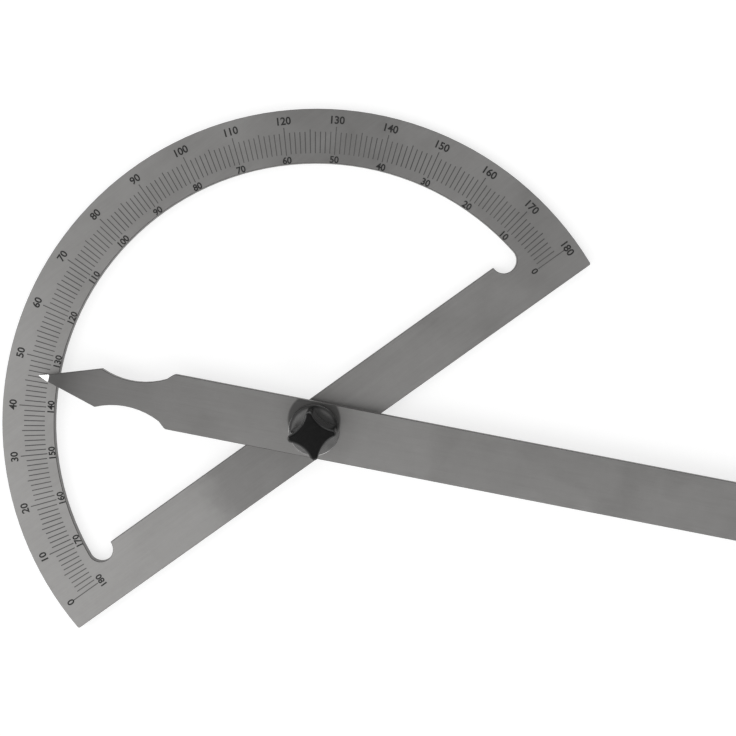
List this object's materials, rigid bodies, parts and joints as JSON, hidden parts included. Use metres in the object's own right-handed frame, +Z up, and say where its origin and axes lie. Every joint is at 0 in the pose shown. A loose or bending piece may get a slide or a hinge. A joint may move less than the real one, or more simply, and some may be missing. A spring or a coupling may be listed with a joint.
{
  "type": "open-bow protractor with pointer arm",
  "caption": "Flat steel protractor: an open half-ring scale on a straight bar, with a long pointer arm that swings on a stud and is locked by a clamping knob.",
  "frame": {"origin": "the pivot axis at the flat back of the scale plate, which lies on the work", "axes": "+X along the straight bar towards the 180 end, +Y towards the crown of the bow, +Z up from the back through the pivot"},
  "size_m": [0.2514, 0.2589, 0.0173],
  "materials": {
    "plate_steel": "satin stainless sheet with etched dark graduations",
    "arm_steel": "satin stainless strip, brushed along its length",
    "stud_steel": "turned stainless steel",
    "washer_steel": "stamped stainless steel",
    "insert_brass": "turned brass",
    "knob_plastic": "black moulded plastic, half gloss"
  },
  "bodies": {
    "protractor": {"scale_plate": "plate_steel", "pivot_stud": "stud_steel", "spacer_washer": "washer_steel"},
    "arm": {"pointer_arm": "arm_steel"},
    "clamp": {"flat_washer": "washer_steel"},
    "knob": {"knob_insert": "insert_brass", "knob_body": "knob_plastic"}
  },
  "joints": [
    {"name": "arm_swing", "type": "hinge", "parent": "protractor", "child": "arm", "pos_m": [0, 0, 0], "axis": [0, 0, 1], "continuous": true},
    {"name": "clamp_lift", "type": "slide", "parent": "protractor", "child": "clamp", "axis": [0, 0, 1], "range_m": [0, 0.0016]},
    {"name": "knob_turn", "type": "hinge", "parent": "clamp", "child": "knob", "pos_m": [0, 0, 0], "axis": [0, 0, 1], "range_deg": [0, 720]}
  ],
  "couplings": [
    {"joint": "knob_turn", "follows": "clamp_lift", "rad_per_m": 7854}
  ]
}
